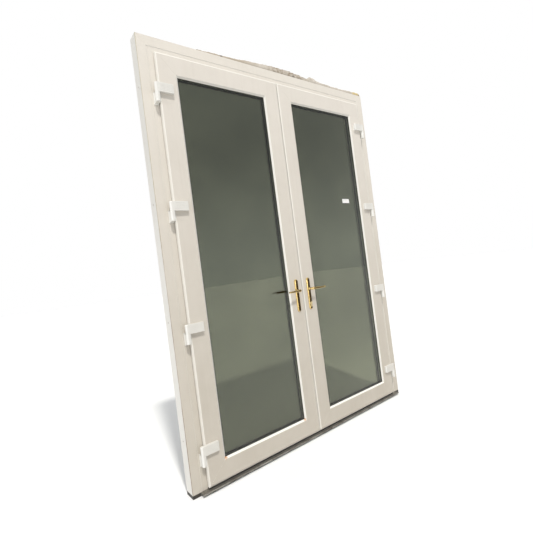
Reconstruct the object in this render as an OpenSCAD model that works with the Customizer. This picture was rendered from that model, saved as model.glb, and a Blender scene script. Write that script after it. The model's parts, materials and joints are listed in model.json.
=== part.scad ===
// French doors: a welded three-sided plastic frame on a low metal threshold, with a pair of
// outward-opening glazed leaves, flag hinges, lever handles, a master lock and slave shootbolts.
// +X right and +Z up seen from outside, outside faces -Y, y = 0 is the outer face of the frame.
// Every upright section is drawn once, as (distance in from the edge, depth), and mitred round.

/* [Overall] */
// Width of the outer frame
frame_w = 1740; // [1400:10:2100]
// Height of the outer frame above the threshold
frame_h = 2300; // [1900:10:2800]
// Depth of the outer frame
frame_d = 70; // [68:1:90]

/* [Outer frame] */
// Width of the flat outer band of the frame face
frame_face = 50; // [35:1:60]
// Set-back of the inner band behind the flat band
land_step = 2; // [1:0.5:3]
// Width of frame that the leaf laps over
lap = 8; // [5:1:10]
// Air gap between the frame and the body of a leaf
air_gap = 12; // [10:1:14]
// Height of the inner stop above the frame body
stop_w = 20; // [16:1:24]
// Wall of the plastic profiles
wall = 3; // [2.5:0.5:3.5]
// Width of the groove that dresses a welded corner
weld_w = 1.6; // [1:0.1:3]
// Depth of that groove
weld_t = 0.4; // [0.2:0.1:0.6]
// Wall of the steel bars
steel_t = 2; // [1.5:0.5:3]
// Clearance of the steel bars in their chamber
steel_clear = 0.5; // [0.3:0.1:1]
// Radius of the fixing holes in the jambs
fixing_r = 3.75; // [3:0.25:5]
// Distance from each jamb end to its first fixing hole
fixing_end = 260; // [150:10:400]
// Depth of the fixing holes from the outer face
fixing_y = 35; // [30:1:44]

/* [Threshold] */
// Height of the threshold under the jambs
threshold_h = 18; // [14:1:30]
// Projection of the threshold nose from the frame face
nose_out = 33; // [20:1:50]
// Thickness of the nose
nose_t = 4.5; // [3:0.5:8]
// Fall of the nose from back to front
nose_fall = 2; // [0:0.5:4]
// Length of the plastic block at each end of the threshold
end_block = 42; // [30:1:60]
// Height of the rebate bar that the leaves close over
rebate_h = 17; // [12:1:20]

/* [Leaves] */
// Distance from the frame's outer edge to the leaf's edge
leaf_edge = 84; // [76:1:96]
// Gap between the two leaves
meet_gap = 5; // [4:0.5:8]
// Gap under the leaves
leaf_clear = 9; // [6:1:12]
// Distance that a leaf stands proud of the frame
proud = 20; // [16:1:24]
// Depth of a leaf
leaf_d = 70; // [68:1:80]
// Flat face of a leaf, from its edge to the inner arris
sash_face = 101; // [90:1:120]
// Size of the glazing chamfer
chamfer = 9; // [6:1:10]
// Width and depth of the bevel round a leaf's edge
bevel = [7, 4]; // [3:0.5:9]
// Overhang of the leaf's edge beyond its body
flange_w = 20; // [18:1:24]
// Thickness of that overhang
flange_t = 18; // [14:1:20]
// Depth of the glazing rebate
rebate_w = 22; // [20:1:26]
// Gap that the weather seals fill
seal_gap = 4; // [3:0.5:5]

/* [Glazing] */
// Thickness of each pane
pane_t = 4; // [3:1:6]
// Gap between the panes
cavity = 20; // [12:1:20]
// Thickness of the glazing gaskets
gasket_t = 3; // [2:0.5:4]
// Clearance round the sealed unit
unit_clear = 4; // [3:0.5:5]
// Width of the spacer bar
spacer_w = 8; // [6:0.5:9]
// Size of the sticker on the master leaf's glass
sticker = [72, 29]; // [20:1:100]
// Sticker centre, from the leaf's outer edge and from its foot
sticker_at = [254, 1462]; // [150:1:1800]

/* [Hinges] */
// Hinges on each leaf
hinge_count = 4; // [2:1:5]
// Height of the lowest hinge joint above the leaf's foot
hinge_foot = 169; // [140:1:300]
// Distance of the highest hinge joint below the leaf's top
hinge_head = 212; // [150:1:300]
// Height of the third hinge above its even place
hinge_lift = 9; // [-20:1:20]
// Distance of the hinge axis from the leaf's edge
hinge_off = 15; // [14:1:18]
// Distance of the hinge axis in front of the leaf's face
hinge_out = 6; // [4:0.5:8]
// Radius of the upper knuckle
knuckle_r = 11.5; // [9:0.5:12]
// Radius of the lower knuckle
socket_r = 12.5; // [10:0.5:12.5]
// Height of the upper knuckle and flag
flag_h = 47; // [35:1:60]
// Height of the lower knuckle
socket_h = 52; // [40:1:70]
// Length of the flag over the leaf's face
flag_w = 74; // [50:1:90]
// Thickness of the flag
flag_t = 17; // [8:1:18]
// Rounding of the flag's free end
flag_r = 8; // [3:0.5:10]
// Ribbing cut into the flag's face: count, width and depth
flag_ribs = [5, 1.6, 0.8]; // [0.5:0.1:8]
// Rounding of the knuckle's crown
crown_r = 3; // [1:0.5:4]
// Radius of the hinge pin
pin_r = 5; // [4:0.5:6]
// Radial clearance of the pin in the upper knuckle
pin_clear = 0.05; // [0.02:0.01:0.1]

/* [Handles] */
// Height of the handle spindle above the threshold
handle_h = 900; // [850:5:1100]
// Distance of the handles from the meeting line
handle_x = 50; // [44:1:56]
// Backplate width, height and thickness
plate = [26, 202, 8]; // [6:1:240]
// Width and height of the slope round the backplate's face
plate_slope = [4, 5]; // [1:0.5:6]
// Spindle to backplate top
plate_top = 71; // [60:1:100]
// Lever length from spindle to tip
lever_l = 104; // [90:1:130]
// Lever bar height and thickness
lever_bar = [17, 11]; // [8:0.5:22]
// Gap between backplate and lever bar
lever_gap = 36; // [28:1:50]
// Side of the square spindle
spindle_a = 8; // [7:0.5:9]
// Spindle to key cylinder
key_drop = 92; // [70:1:100]
// Radius of the cylinder's round part
cyl_r = 8.5; // [8:0.1:9]
// Overall height of the cylinder's outline
cyl_h = 33; // [30:0.5:35]

/* [Locking] */
// Travel of the lock bolts
bolt_throw = 16; // [10:1:17]
// Travel of the latch
latch_throw = 11; // [8:1:14]
// Bolt height and thickness
bolt = [24, 10]; // [8:1:30]
// Distance of the end bolts from the spindle
bolt_span = 640; // [400:10:800]
// Radius of the shootbolts
shoot_r = 4; // [3:0.5:5]
// Travel of the shootbolts
shoot_throw = 22; // [18:1:24]

/* [Remains] */
// Greatest height of the old sealant and plaster along the head's outer edge
sealant_h = 42; // [10:1:60]

/* [Hidden] */
$fn = 48;
eps = 0.01;
fit = 0.3;                                   // between pieces that only lie side by side
half_w = frame_w / 2;
frame_z1 = threshold_h + frame_h;
frame_u = leaf_edge + lap;                   // frame edge to the rebate's face
stop_u = frame_u + stop_w;
leaf_w = (frame_w - 2 * leaf_edge - meet_gap) / 2;
leaf_z0 = threshold_h + leaf_clear;
leaf_z1 = frame_z1 - leaf_edge;
leaf_h = leaf_z1 - leaf_z0;
body_u = flange_w;                           // leaf edge to its body
glass_u = sash_face + chamfer;               // leaf edge to the glazing sight line
reb_u = glass_u - rebate_w;
leg_t = chamfer;
back_y = leaf_d - proud;
stop_y = back_y + seal_gap;
land_y = land_step;
flange_y = flange_t - proud;
pane_y = leg_t - proud + gasket_t;           // outer face of the outer pane
pane2_y = pane_y + pane_t + cavity;
bead_y = pane2_y + pane_t + gasket_t;
unit_u = reb_u + unit_clear;
spacer_u = glass_u - 4 - spacer_w;
steel_y = [flange_y, 34];                    // chamber that holds a leaf's steel
fsteel_u = [frame_u - wall - 64, frame_u - wall];
fsteel_y = [20, stop_y - wall];
hinge_u = leaf_edge - hinge_off;
hinge_x = half_w - hinge_u;
hinge_y = -proud - hinge_out;
hinge_z = [for (i = [0:hinge_count - 1])
    leaf_z0 + hinge_foot + i * (leaf_h - hinge_foot - hinge_head) / (hinge_count - 1)
        + (i == 2 && hinge_count > 3 ? hinge_lift : 0)];
axis_z = threshold_h + handle_h;
key_z = axis_z - key_drop;
fixing_zs = [for (k = [0:3]) threshold_h + fixing_end + k * (frame_h - 2 * fixing_end) / 3];
side_x = meet_gap / 2 + 0.5;                 // meeting line to the meeting profiles
body_x = meet_gap / 2 + body_u;              // meeting line to a leaf's body
prof_y = [flange_y + 1, back_y];             // depth of the meeting profiles
bolt_y = 15;                                 // middle of the lock in depth
shoot_at = [-(side_x + body_x) / 2, 36];
guide_zs = [leaf_z0 + flange_w, axis_z - 90, axis_z + 76, leaf_z1 - flange_w - 14];
case_z = [axis_z - 130, axis_z + 62];
case_x = [body_x + 1.5, body_x + 45];
latch_z = axis_z + 34;
bolt_zs = [axis_z - bolt_span, axis_z - 46, axis_z + bolt_span];
keep_zs = concat(bolt_zs, latch_z);
lever_y = -proud - plate[2] - lever_gap - lever_bar[1] / 2;
mid_y = (back_y - proud) / 2;                // middle plane of a leaf

// ---- helpers -------------------------------------------------------------------------------

// A box from one corner to the opposite one.
module box(a, b) { translate(a) cube(b - a); }
// A rectangle from one corner to the opposite one.
module rect(a, b) { translate(a) square(b - a); }
// A closed upright shape in the XZ plane, from y0 to y1.
module along_y(y0, y1) { translate([0, y1, 0]) rotate([90, 0, 0]) linear_extrude(y1 - y0) children(); }
// A section in (y, z), from x0 to x1.
module along_x(x0, x1) {
    translate([x0, 0, 0]) rotate([90, 0, 90]) linear_extrude(x1 - x0) children();
}
// A round bar or hole along X, Y or Z.
module rod_x(r, x0, x1) { translate([x0, 0, 0]) rotate([0, 90, 0]) cylinder(r = r, h = x1 - x0); }
module rod_y(r, y0, y1) { translate([0, y1, 0]) rotate([90, 0, 0]) cylinder(r = r, h = y1 - y0); }

// An upright bar of the section given, len long, mitred at its top and, if feet, at its foot.
module upright(len, reach, feet = true) {
    f = feet ? reach : 0;
    intersection() {
        linear_extrude(len) children();
        along_y(-100, 200) polygon([[0, 0], [reach, f], [reach, len - reach], [0, len]]);
    }
}
// A closed ring of that section, w by h, with welded mitres.
module ring(w, h, reach) {
    upright(h, reach) children();
    translate([w, 0, 0]) mirror([1, 0, 0]) upright(h, reach) children();
    rail(w, reach) children();
    translate([0, 0, h]) mirror([0, 0, 1]) rail(w, reach) children();
}
// The bottom rail of such a ring.
module rail(w, reach) { mirror([0, 0, 1]) rotate([0, 90, 0]) upright(w, reach) children(); }

// Puts a child drawn from the leaf's outer lower corner on the left or the right leaf.
module leaf(side) {
    if (side < 0) translate([-half_w + leaf_edge, 0, leaf_z0]) children();
    else mirror([1, 0, 0]) translate([-half_w + leaf_edge, 0, leaf_z0]) children();
}
// Draws the child as given for the right leaf, and mirrored for the left one.
module hand(side) { if (side > 0) children(); else mirror([1, 0, 0]) children(); }

// ---- outer frame and threshold -------------------------------------------------------------

module frame_section() {
    difference() {
        polygon([[0, 0], [frame_face, 0], [frame_face + land_step, land_y], [frame_u, land_y],
            [frame_u, stop_y], [stop_u, stop_y], [stop_u, frame_d], [0, frame_d]]);
        polygon([[wall, wall], [frame_face - 1, wall], [frame_face + land_step - 1, land_y + wall],
            [frame_u - wall, land_y + wall], [frame_u - wall, fsteel_y[0] - wall],
            [wall, fsteel_y[0] - wall]]);
        rect([wall, fsteel_y[0]], [fsteel_u[0] - wall, fsteel_y[1]]);
        rect([fsteel_u[0], fsteel_y[0]], [fsteel_u[1], fsteel_y[1]]);
        rect([wall, stop_y + wall], [stop_u - wall, frame_d - wall]);
    }
}
module three_sides() {
    translate([-half_w, 0, threshold_h]) {
        upright(frame_h, stop_u, false) children();
        translate([frame_w, 0, 0]) mirror([1, 0, 0]) upright(frame_h, stop_u, false) children();
        translate([0, 0, frame_h]) mirror([0, 0, 1]) rail(frame_w, stop_u) children();
    }
}
module fixing_holes(r) {
    for (s = [-1, 1], z = fixing_zs) translate([s * half_w, fixing_y, z])
        rod_x(r, s > 0 ? -frame_u - 1 : -1, s > 0 ? 1 : frame_u + 1);
}
// Shallow groove left by the corner weld, from u0 to u1 along the mitre, cut from y0 to y1.
module weld(u0, u1, y0, y1) {
    rotate([0, -45, 0]) box([u0 * sqrt(2), y0, -weld_w / 2], [u1 * sqrt(2), y1, weld_w / 2]);
}
module outer_frame() {
    color("#eeece6") difference() {
        three_sides() frame_section();
        for (s = [-1, 1]) hand(s) translate([-half_w, 0, frame_z1]) mirror([0, 0, 1]) {
            weld(0, frame_face, -1, weld_t);
            weld(frame_face, frame_u, land_y - 1, land_y + weld_t);
            weld(0, stop_u, frame_d - weld_t, frame_d + 1);
        }
        fixing_holes(fixing_r);
        // shootbolt hole in the head
        translate([shoot_at[0], shoot_at[1], frame_z1 - frame_u - 1]) cylinder(r = shoot_r + 1, h = 16);
    }
}
module steel_section(u, y) {
    difference() {
        rect([u[0] + steel_clear, y[0] + steel_clear], [u[1] - steel_clear, y[1] - steel_clear]);
        rect([u[0] + steel_clear + steel_t, y[0] + steel_clear + steel_t],
            [u[1] - steel_clear - steel_t, y[1] - steel_clear - steel_t]);
    }
}
module frame_reinforcement() {
    color("silver") difference() {
        union() {
            for (s = [-1, 1]) hand(s) translate([-half_w, 0, threshold_h + 4])
                linear_extrude(frame_h - stop_u - 8) steel_section(fsteel_u, fsteel_y);
            translate([-half_w + stop_u + 4, 0, frame_z1]) rotate([0, 90, 0])
                linear_extrude(frame_w - 2 * stop_u - 8) steel_section(fsteel_u, fsteel_y);
        }
        fixing_holes(fixing_r + 0.5);
        translate([shoot_at[0], shoot_at[1], frame_z1 - frame_u]) cylinder(r = shoot_r + 1.5, h = 16);
    }
}
module threshold() {
    x1 = half_w - end_block;
    color("#8f8f8c") along_x(-x1, x1) difference() {
        polygon([[-nose_out, threshold_h - nose_fall - 1.2 - nose_t], [-nose_out, threshold_h - nose_fall - 1.2],
            [2 - nose_out, threshold_h - nose_fall], [0, threshold_h], [frame_d, threshold_h],
            [frame_d, 0], [0, 0], [0, threshold_h - nose_t],
            [3 - nose_out, threshold_h - nose_fall - nose_t + 1],
            [3 - nose_out, threshold_h - nose_fall - 1.2 - nose_t]]);
        rect([3, 2.5], [frame_d / 2 - 1.5, threshold_h - 2.5]);
        rect([frame_d / 2 + 1.5, 2.5], [frame_d - 3, threshold_h - 2.5]);
    }
}
module threshold_end_blocks() {
    color("#1d1c1b") for (s = [-1, 1]) hand(s)
        box([-half_w, 0, 0], [-half_w + end_block, frame_d, threshold_h]);
}
module threshold_rebate() {
    xa = half_w - frame_u - fit;
    xb = half_w - stop_u - fit;
    top = threshold_h + rebate_h;
    color("#8f8f8c") difference() {
        union() {
            along_x(-xa, xa) difference() {
                rect([land_y, threshold_h], [stop_y - fit, top]);
                rect([land_y + 2, threshold_h + 2], [stop_y - 2.5, top - 2]);
            }
            along_x(-xb, xb) rect([stop_y - 1, threshold_h], [stop_y + 1, top]);
            along_x(-xb, xb) difference() {
                rect([stop_y, threshold_h], [frame_d, top + stop_w]);
                rect([stop_y + 2, threshold_h + 2], [frame_d - 2, top + stop_w - 2]);
            }
        }
        translate([shoot_at[0], shoot_at[1], top - 3]) cylinder(r = shoot_r + 1, h = 4);
    }
}
module threshold_seal() {
    x1 = half_w - leaf_edge;
    color("#141414") along_x(-x1, x1)
        polygon([[land_y, threshold_h], [land_y, threshold_h + 6], [1 - proud + 8, threshold_h + 5],
            [-proud + 8, threshold_h + 3.5], [-proud + 8, threshold_h]]);
}
module frame_seal() {
    t = seal_gap - 0.7;
    color("#141414") {
        difference() {
            three_sides() rect([stop_u - 9, stop_y - t], [stop_u - 2, stop_y]);
            box([-half_w, 0, 0], [half_w, frame_d, threshold_h + rebate_h + fit]);
        }
        along_x(-half_w + stop_u - 2 + fit, half_w - stop_u + 2 - fit)
            rect([stop_y - t, threshold_h + rebate_h + stop_w - 9],
                [stop_y, threshold_h + rebate_h + stop_w - 2]);
    }
}
// Plates that the shootbolts enter, on the head and on the rebate bar.
module shootbolt_keeps() {
    color("silver") for (z = [frame_z1 - frame_u - 2, threshold_h + rebate_h])
        translate([shoot_at[0], shoot_at[1], z]) difference() {
            translate([-24, -9, 0]) cube([48, 18, 2]);
            translate([0, 0, -1]) cylinder(r = shoot_r + 0.8, h = 4);
        }
}
// Old sealant and plaster left along the head's outer edge, heaped over the middle, with one lump.
// Each point is a share of the half width and of the greatest height.
function crumb(x) = 1.4 * sin(x * 3.1) + 1.1 * sin(x * 7.7 + 40) + 0.8 * sin(x * 17 + 90);
sealant_line = [[-0.62, 0.04], [-0.605, 0.18], [-0.57, 0.22], [-0.5, 0.27], [-0.43, 0.33], [-0.36, 0.33],
    [-0.3, 0.46], [-0.22, 0.6], [-0.14, 0.72], [-0.07, 0.82], [0, 0.9], [0.06, 0.94], [0.12, 0.92], [0.19, 0.88],
    [0.25, 0.84], [0.285, 0.66], [0.33, 0.52], [0.36, 0.58], [0.38, 0.9], [0.4, 1], [0.42, 0.94], [0.45, 0.66],
    [0.5, 0.52], [0.57, 0.47], [0.65, 0.42], [0.72, 0.4], [0.8, 0.47], [0.88, 0.52], [0.95, 0.55], [0.985, 0.5],
    [0.996, 0.3]];
module sealant_remains() {
    last = len(sealant_line) - 1;
    tops = [for (i = [0:last - 1], k = [0:2]) let(a = sealant_line[i], b = sealant_line[i + 1], t = k / 3,
        x = (a[0] + (b[0] - a[0]) * t) * half_w) [x, max(1, sealant_h * (a[1] + (b[1] - a[1]) * t) + 0.8 * crumb(x))]];
    end_x = sealant_line[last][0] * half_w;
    color("#b9ad97") translate([0, 0, frame_z1]) along_y(1, 21)
        polygon(concat(tops, [[end_x, sealant_h * sealant_line[last][1]], [end_x, 0], [tops[0][0], 0]]));
}

// ---- leaves --------------------------------------------------------------------------------

module sash_section() {
    difference() {
        polygon([[0, bevel[1] - proud], [bevel[0], -proud], [sash_face, -proud],
            [glass_u, chamfer - proud], [reb_u, leg_t - proud], [reb_u, back_y],
            [body_u, back_y], [body_u, flange_y], [0, flange_y]]);
        polygon([[wall, bevel[1] - proud + 2], [bevel[0] + 1, wall - proud], [reb_u - wall, wall - proud],
            [reb_u - wall, flange_y - wall], [wall, flange_y - wall]]);
        rect([body_u + wall, steel_y[0]], [reb_u - wall, steel_y[1]]);
        rect([body_u + wall, steel_y[1] + wall], [reb_u - wall, back_y - wall]);
    }
}
// Holes through a meeting stile for the spindle, screws and, on the master leaf, the cylinder.
module stile_holes(side) {
    hand(side) translate([handle_x, 0, axis_z]) {
        rod_y(spindle_a * 0.5 * sqrt(2) + 1.2, -proud - 1, back_y + 1);
        for (z = screw_zs) translate([0, 0, z]) rod_y(2.9, -proud - 1, back_y + 1);
        if (side > 0) translate([0, 0, -key_drop]) along_y(-proud - 1, back_y + 1) euro(0.6);
    }
}
screw_zs = [plate_top - 16, plate_top - plate[1] + 7];
// Outline of the key cylinder, grown all round by g.
module euro(g) {
    circle(r = cyl_r + g);
    translate([-5 - g, cyl_r - cyl_h + 5]) square([10 + 2 * g, cyl_h - cyl_r - 5]);
    translate([0, cyl_r - cyl_h + 5]) circle(r = 5 + g);
}
module case_pocket(side) {
    hand(side) box([body_x - 1, bolt_y - 8.5, case_z[0] - 0.5], [case_x[1] + 1, bolt_y + 8.5, case_z[1] + 0.5]);
}
module sash(side) {
    color("#f0eee9") difference() {
        leaf(side) ring(leaf_w, leaf_h, glass_u) sash_section();
        leaf(side) for (i = [0, 1], k = [0, 1]) translate([i * leaf_w, 0, k * leaf_h])
            mirror([i, 0, 0]) mirror([0, 0, k]) {
                weld(bevel[0], sash_face, -proud - 1, weld_t - proud);
                weld(body_u, reb_u, back_y - weld_t, back_y + 1);
            }
        stile_holes(side);
        case_pocket(side);
        if (side > 0) for (z = bolt_zs) bolt_path(z, bolt_throw, body_x - 1, body_x + 26);
    }
}
// Steel bars in a leaf's four members; the meeting bar stops short of the lock case.
module reinforcement(side) {
    u = [body_u + wall, reb_u - wall];
    e = glass_u + 3;
    color("silver") difference() {
        leaf(side) {
            translate([0, 0, e]) linear_extrude(leaf_h - 2 * e) steel_section(u, steel_y);
            translate([leaf_w, 0, e]) mirror([1, 0, 0]) linear_extrude(leaf_h - 2 * e)
                steel_section(u, steel_y);
            translate([e, 0, leaf_h]) rotate([0, 90, 0]) linear_extrude(leaf_w - 2 * e)
                steel_section(u, steel_y);
            translate([e, 0, 0]) mirror([0, 0, 1]) rotate([0, 90, 0]) linear_extrude(leaf_w - 2 * e)
                steel_section(u, steel_y);
        }
        hand(side) box([body_x, flange_y - 1, case_z[0] - 20], [body_x + 80, back_y, case_z[1] + 20]);
        if (side > 0) for (z = bolt_zs) bolt_path(z, bolt_throw, body_x - 1, body_x + 27, 1);
    }
}
module pane(side, y) {
    color("#5d6a5e", 0.5) leaf(side)
        box([unit_u, y, unit_u], [leaf_w - unit_u, y + pane_t, leaf_h - unit_u]);
}
module flat_ring(side, u0, u1, y0, y1) {
    leaf(side) difference() {
        box([u0, y0, u0], [leaf_w - u0, y1, leaf_h - u0]);
        box([u1, y0 - 1, u1], [leaf_w - u1, y1 + 1, leaf_h - u1]);
    }
}
module spacer(side) {
    color("#b9bcbd") flat_ring(side, spacer_u, spacer_u + spacer_w, pane_y + pane_t, pane2_y);
}
module edge_seal(side) {
    color("#1a1a1a") flat_ring(side, unit_u, spacer_u, pane_y + pane_t, pane2_y);
}
module gaskets(side) {
    color("#151515") {
        flat_ring(side, glass_u - 7, glass_u + 3, pane_y - gasket_t, pane_y);
        flat_ring(side, glass_u - 7, glass_u + 2, bead_y - gasket_t, bead_y);
    }
}
module beads(side) {
    color("#f0eee9") leaf(side) translate([reb_u, 0, reb_u])
        ring(leaf_w - 2 * reb_u, leaf_h - 2 * reb_u, rebate_w + 1) difference() {
            polygon([[0, bead_y], [rebate_w, bead_y], [rebate_w, bead_y + 6],
                [rebate_w - 12, back_y - 3], [rebate_w - 12, back_y], [0, back_y]]);
            polygon([[2, bead_y + 2], [rebate_w - 2, bead_y + 2], [rebate_w - 2, bead_y + 5],
                [rebate_w - 14, back_y - 3], [2, back_y - 3]]);
        }
}
// Plastic packers that hold the glass clear of the rebate: two in the foot and head, two a side.
module packers(side) {
    t = unit_clear;
    y = [pane_y, pane2_y + pane_t];
    w = leaf_w;
    h = leaf_h;
    color("#2e5fa3") leaf(side) {
        for (x = [0.24 * w, 0.76 * w]) {
            box([x - 50, y[0], reb_u], [x + 50, y[1], reb_u + t]);
            box([x - 50, y[0], h - reb_u - t], [x + 50, y[1], h - reb_u]);
        }
        for (z = [0.12 * h, 0.88 * h]) {
            box([reb_u, y[0], z - 50], [reb_u + t, y[1], z + 50]);
            box([w - reb_u - t, y[0], z - 50], [w - reb_u, y[1], z + 50]);
        }
    }
}
// Weather seal behind the leaf's edge: hinge stile, head and foot.
module leaf_seal(side) {
    color("#141414") difference() {
        flat_ring(side, 3, 9, flange_y, flange_y + seal_gap - 0.8);
        leaf(side) box([leaf_w - 10, flange_y - 1, 9], [leaf_w, back_y, leaf_h - 9]);
    }
}
module sticker_label() {
    color("white") leaf(1) translate([sticker_at[0], pane_y, sticker_at[1]])
        box([-sticker[0] / 2, -0.3, -sticker[1] / 2], [sticker[0] / 2, 0, sticker[1] / 2]);
}

// ---- hinges --------------------------------------------------------------------------------

module at_hinges(side) {
    hand(-side) for (z = hinge_z) translate([-hinge_x, hinge_y, z]) children();
}
// A round knuckle that stands on z = 0 with a rounded crown.
module knuckle(r, h) {
    rotate_extrude() {
        square([r, h - crown_r]);
        square([r - crown_r, h]);
        intersection() {
            translate([r - crown_r, h - crown_r]) circle(r = crown_r);
            square([r, h]);
        }
    }
}
// Lower knuckles on the frame, each with the block that carries it on the inner band.
module hinge_bodies() {
    color("#f4f4f4") for (s = [-1, 1]) at_hinges(s) difference() {
        union() {
            mirror([0, 0, 1]) translate([0, 0, 0.3]) knuckle(socket_r, socket_h - 0.3);
            box([-9, 0, -socket_h], [9, land_y - hinge_y, -0.3]);
            box([-12, land_y - hinge_y - 4, -socket_h - 6], [12, land_y - hinge_y, 6]);
        }
        translate([0, 0, -socket_h + 4]) cylinder(r = pin_r, h = socket_h + 20);
    }
}
module hinge_pins() {
    color("silver") for (s = [-1, 1]) at_hinges(s)
        translate([0, 0, -socket_h + 4]) cylinder(r = pin_r, h = socket_h - 4 + flag_h - 6);
}
// Upper knuckles with the flags that lie on the leaf's face.
module hinge_flags(side) {
    r = flag_r;
    x1 = hinge_off + flag_w;
    front = hinge_out - flag_t;
    color("#f4f4f4") at_hinges(side) difference() {
        union() {
            knuckle(knuckle_r, flag_h);
            intersection() {
                union() {
                    box([0, front, 0], [x1 - r, hinge_out, flag_h]);
                    box([x1 - r - eps, front + r, 0], [x1, hinge_out, flag_h]);
                    translate([x1 - r, front + r, 0]) cylinder(r = r, h = flag_h);
                }
                along_y(front - 1, hinge_out + 1) {
                    rect([0, 0], [x1 - crown_r, flag_h]);
                    rect([x1 - crown_r - eps, crown_r], [x1, flag_h - crown_r]);
                    for (z = [crown_r, flag_h - crown_r]) translate([x1 - crown_r, z]) circle(r = crown_r);
                }
            }
        }
        for (k = [1:flag_ribs[0]]) let(z = k * flag_h / (flag_ribs[0] + 1))
            box([knuckle_r + 2, front - 1, z - flag_ribs[1] / 2], [x1 - r, front + flag_ribs[2], z + flag_ribs[1] / 2]);
        translate([0, 0, -1]) cylinder(r = pin_r + pin_clear, h = flag_h - 3);
    }
}

// ---- handles -------------------------------------------------------------------------------

// The child is drawn outside, and copied to the inside when inner.
module face(inner) {
    if (inner) translate([0, 2 * mid_y, 0]) mirror([0, 1, 0]) children();
    else children();
}
// Half the backplate's section: flat back, upright rim, slope and flat face towards -Y.
module plate_half() {
    r = plate[0] / 2;
    polygon([[0, 0], [r, 0], [r, plate_slope[1] - plate[2]], [r - plate_slope[0], -plate[2]], [0, -plate[2]]]);
}
module backplate(side, inner) {
    r = plate[0] / 2;
    z1 = plate_top - r;
    z0 = plate_top - plate[1] + r;
    color("#a8843c") face(inner) hand(side) translate([handle_x, 0, axis_z]) difference() {
        translate([0, -proud, 0]) {
            translate([0, 0, z0]) linear_extrude(z1 - z0) {
                plate_half();
                mirror([1, 0]) plate_half();
            }
            for (z = [z0, z1]) translate([0, 0, z]) rotate([90, 0, 0]) rotate_extrude() rotate(180) mirror([1, 0]) plate_half();
        }
        rod_y(9.6, -proud - plate[2] - 1, -proud + 1);
        if (side > 0) translate([0, 0, -key_drop]) along_y(-proud - plate[2] - 1, -proud + 1) euro(0.4);
        if (inner) for (z = screw_zs) translate([0, 0, z]) {
            rod_y(2.7, -proud - plate[2] - 1, -proud + 1);
            rod_y(5, -proud - plate[2] - 1, -proud - plate[2] + 3);
        }
        else for (z = screw_zs) translate([0, 0, z]) rod_y(2.2, -proud - 5, -proud + 1);
    }
}
module lever(side, inner) {
    b = lever_bar;
    r = b[0] / 2;
    root = -proud - plate[2];
    color("#a8843c") face(inner) hand(side) translate([handle_x, 0, axis_z]) difference() {
        union() {
            rod_y(9.5, root - 5, root + 6);
            rod_y(7.5, lever_y + b[1] / 2 - 1, root);
            along_y(lever_y - b[1] / 2, lever_y + b[1] / 2) {
                circle(r = r);
                polygon([[0, r], [lever_l - r + 2, r - 2.5], [lever_l - r + 2, 2.5 - r], [0, -r]]);
                translate([lever_l - r + 2.5, 0]) circle(r = r - 2.5);
            }
        }
        along_y(root - 24, root + 8) square(spindle_a + 0.1, center = true);
    }
}
module spindle(side) {
    reach = plate[2] + 22;
    color("silver") hand(side) translate([handle_x, 0, axis_z])
        along_y(-proud - reach, back_y + reach) square(spindle_a, center = true);
}
// Screws through the leaf from the inner backplate into the outer one.
module handle_screws(side) {
    color("#b8974f") hand(side) for (z = screw_zs) translate([handle_x, 0, axis_z + z]) {
        rod_y(2.2, -proud - 4, back_y + plate[2] - 3);
        rod_y(4.6, back_y + plate[2] - 3, back_y + plate[2] - 0.2);
    }
}

// ---- locking -------------------------------------------------------------------------------

// Space that a bolt at height z slides in, from xa to xb, grown by g.
module bolt_path(z, throw, xa, xb, g = 0.4) {
    box([xa, bolt_y - bolt[1] / 2 - g, z - bolt[0] / 2 - g],
        [xb, bolt_y + bolt[1] / 2 + g, z + bolt[0] / 2 + g]);
}
// Hollow profile beside a leaf's body at the meeting line, drawn for the right leaf.
module meeting_section() {
    w = 2.5;
    difference() {
        rect([side_x, prof_y[0]], [body_x, prof_y[1]]);
        rect([side_x + w, prof_y[0] + w], [body_x - w, bolt_y + 8]);
        rect([side_x + w, bolt_y + 8 + w], [body_x - w, prof_y[1] - w]);
    }
}
module meeting_length() {
    translate([0, 0, leaf_z0 + body_u]) linear_extrude(leaf_h - 2 * body_u) children();
}
module keep_box(z, x0, x1, g) {
    box([x0, bolt_y - 8 - g, z - 26 - g], [x1, bolt_y + 8 + g, z + 26 + g]);
}
// The slave leaf's profile, with guides that the shootbolts slide in and pockets for the keeps.
module flying_mullion() {
    color("#f0eee9") mirror([1, 0, 0]) difference() {
        union() {
            meeting_length() meeting_section();
            for (z = guide_zs) box([side_x + 2, bolt_y + 10, z], [body_x - 2, prof_y[1] - 2, z + 14]);
        }
        translate([-shoot_at[0], shoot_at[1], leaf_z0]) cylinder(r = shoot_r + 0.08, h = leaf_h);
        for (z = keep_zs) {
            keep_box(z, side_x - 1, side_x + 2, 0.1);
            bolt_path(z, bolt_throw, side_x - 1, side_x + 3, 1);
        }
    }
}
module lock_keeps() {
    color("silver") mirror([1, 0, 0]) for (z = keep_zs) difference() {
        keep_box(z, side_x, side_x + 2, 0);
        bolt_path(z, bolt_throw, side_x - 1, side_x + 3, 1);
    }
}
module seal_strip() {
    x0 = 0.6;
    linear_extrude(leaf_h - 2 * body_u) polygon([[side_x, prof_y[0] + 2], [side_x, prof_y[0] + 9],
        [x0 + 0.8, prof_y[0] + 8], [x0, prof_y[0] + 6.5], [x0, prof_y[0] + 4.5], [x0 + 0.8, prof_y[0] + 3]]);
}
module mullion_seal() {
    color("#141414") mirror([1, 0, 0]) translate([0, 0, leaf_z0 + body_u]) seal_strip();
}
module meeting_seal() { color("#141414") translate([0, 0, leaf_z0 + body_u]) seal_strip(); }
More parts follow.
